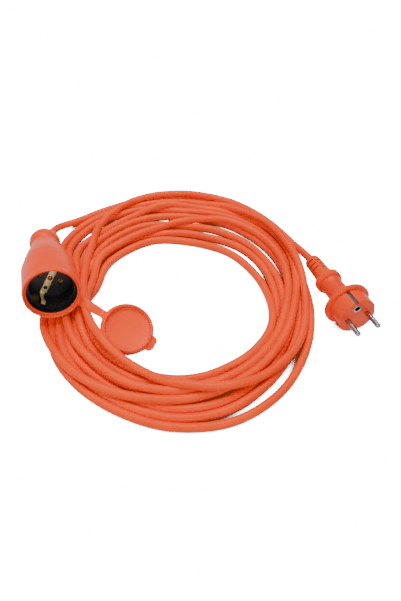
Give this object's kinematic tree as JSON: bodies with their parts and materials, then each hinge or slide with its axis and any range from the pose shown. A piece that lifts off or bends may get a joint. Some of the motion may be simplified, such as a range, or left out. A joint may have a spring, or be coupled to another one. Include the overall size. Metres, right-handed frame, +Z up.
{
  "type": "earthed extension cord",
  "caption": "Orange earthed extension cord in a loose coil, with a splash-proof coupler, a hinged sealing cap on a strap and a moulded plug.",
  "frame": {"origin": "on the floor, under the middle of the box of the coupler and its open cap", "axes": "+Z up from the floor; +X from the coupler towards the coil and the plug; -Y towards the mouth of the coupler"},
  "size_m": [0.3402, 0.2854, 0.0653],
  "materials": {
    "housing_orange": "glossy moulded soft plastic, faint moulding texture",
    "plug_orange": "semi-gloss moulded plastic",
    "cable_sheath": "smooth extruded sheath, satin",
    "insert_black": "hard moulded plastic, satin",
    "contact_brass": "stamped strip, slightly worn",
    "rivet_copper": "copper rivet, oxidised",
    "pin_nickel": "nickel-plated brass",
    "core_brown": "core insulation",
    "core_blue": "core insulation",
    "core_green_yellow": "core insulation, two-coloured"
  },
  "bodies": {
    "root": {"coupler_body": "housing_orange", "coupler_grommet": "housing_orange", "coupler_insert": "insert_black", "coupler_contact_line": "contact_brass", "coupler_contact_neutral": "contact_brass", "coupler_earth_strip": "contact_brass", "coupler_earth_rivet": "rivet_copper", "coupler_crimps": "pin_nickel", "coupler_core_line": "core_brown", "coupler_core_neutral": "core_blue", "coupler_core_earth": "core_green_yellow", "coupler_jacket_end": "cable_sheath", "strap_root": "housing_orange", "cord_lead_coupler": "cable_sheath", "cord_coil": "cable_sheath", "cord_lead_plug": "cable_sheath", "plug_body": "plug_orange", "plug_strain_relief": "plug_orange", "plug_bridge": "insert_black", "plug_pin_line": "pin_nickel", "plug_pin_neutral": "pin_nickel", "plug_earth_clips": "pin_nickel", "plug_earth_socket": "pin_nickel", "plug_crimps": "pin_nickel", "plug_core_line": "core_brown", "plug_core_neutral": "core_blue", "plug_core_earth": "core_green_yellow", "plug_jacket_end": "cable_sheath"},
    "cap": {"strap_end": "housing_orange", "cap": "housing_orange"}
  },
  "joints": [
    {"name": "cap_fold", "type": "hinge", "parent": "root", "child": "cap", "pos_m": [0.01195, -0.0375, 0.02372], "axis": [-0.4174, -0.7217, -0.5522], "range_deg": [0, 153]}
  ]
}
